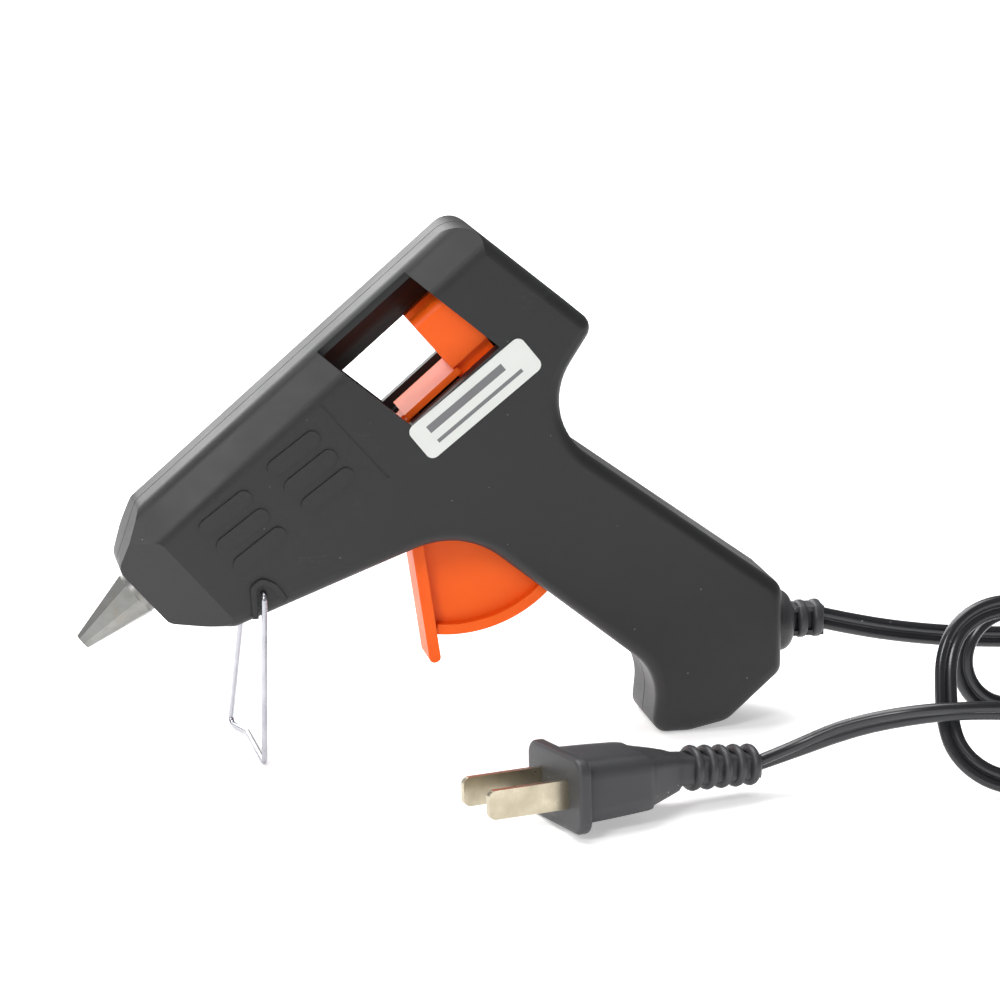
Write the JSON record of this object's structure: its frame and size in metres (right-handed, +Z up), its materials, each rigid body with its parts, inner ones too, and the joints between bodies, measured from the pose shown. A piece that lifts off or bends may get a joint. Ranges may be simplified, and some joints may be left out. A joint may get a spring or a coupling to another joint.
{
  "type": "glue gun",
  "caption": "Small trigger-fed hot-melt glue gun with a slanted barrel, windowed housing, folding wire stand and a tied mains cord.",
  "frame": {"origin": "on the table, under the middle of the gun's own bounding box without its free cord", "axes": "+Z up as the gun stands on its wire stand and butt, nozzle towards -X, the gun's left side towards -Y"},
  "size_m": [0.2931, 0.099, 0.1204],
  "materials": {
    "shell_black": "fine satin moulded texture",
    "screw_steel": "zinc plated",
    "label_grey": "printed film, no lettering",
    "nozzle_cast": "rough die cast",
    "ball_steel": "polished",
    "spring_steel": "bright wire",
    "chamber_cast": "die cast",
    "pill_ceramic": "unglazed ceramic",
    "electrode_brass": "plain",
    "film_amber": "amber insulating film",
    "clip_steel": "spring steel",
    "sleeve_silicone": "translucent grey silicone",
    "trigger_orange": "moulded, semi-gloss",
    "pin_steel": "ground",
    "stand_wire": "bright nickel plated wire",
    "cord_black": "glossy flexible vinyl",
    "plug_black": "satin flexible vinyl",
    "blade_nickel": "nickel plated brass",
    "tie_black": "plastic covered wire",
    "lead_white": "braided glass sleeve"
  },
  "bodies": {
    "housing": {"left_shell": "shell_black", "right_shell": "shell_black", "housing_screws": "screw_steel", "rating_label": "label_grey", "nozzle": "nozzle_cast", "check_ball": "ball_steel", "ball_spring": "spring_steel", "melt_chamber": "chamber_cast", "heater_pill": "pill_ceramic", "heater_electrodes": "electrode_brass", "heater_film": "film_amber", "heater_clip": "clip_steel", "inlet_sleeve": "sleeve_silicone", "sleeve_clip": "clip_steel", "trigger_pin": "pin_steel", "return_spring": "spring_steel", "strain_relief": "cord_black", "lead_wires": "lead_white", "power_cord": "cord_black", "plug_cord": "cord_black", "cord_hank": "cord_black", "cord_tie": "tie_black", "plug_body": "plug_black", "plug_face": "plug_black", "plug_blades": "blade_nickel"},
    "trigger": {"trigger": "trigger_orange"},
    "carriage": {"feed_carriage": "trigger_orange", "jaw_pin": "pin_steel"},
    "jaw": {"grip_jaw": "pin_steel"},
    "stand": {"wire_stand": "stand_wire"}
  },
  "joints": [
    {"name": "trigger_pull", "type": "hinge", "parent": "housing", "child": "trigger", "pos_m": [-0.00242, 0, 0.05682], "axis": [0, -1, 0], "range_deg": [0, 26], "stiffness_Nm_per_rad": 0.2, "springref_deg": -20.05, "deforming": ["return_spring"]},
    {"name": "carriage_slide", "type": "slide", "parent": "housing", "child": "carriage", "axis": [-0.757, 0, -0.6534], "range_m": [0, 0.00957]},
    {"name": "jaw_bite", "type": "hinge", "parent": "carriage", "child": "jaw", "pos_m": [0.00169, 0, 0.09247], "axis": [0, 1, 0], "range_deg": [0, 8.1]},
    {"name": "stand_fold", "type": "hinge", "parent": "housing", "child": "stand", "pos_m": [-0.04757, 0, 0.03965], "axis": [0, -1, 0], "range_deg": [0, 55]}
  ],
  "couplings": [
    {"joint": "carriage_slide", "follows": "trigger_pull", "m_per_rad": 0.020656},
    {"joint": "jaw_bite", "follows": "trigger_pull", "ratio": 0.3077}
  ]
}
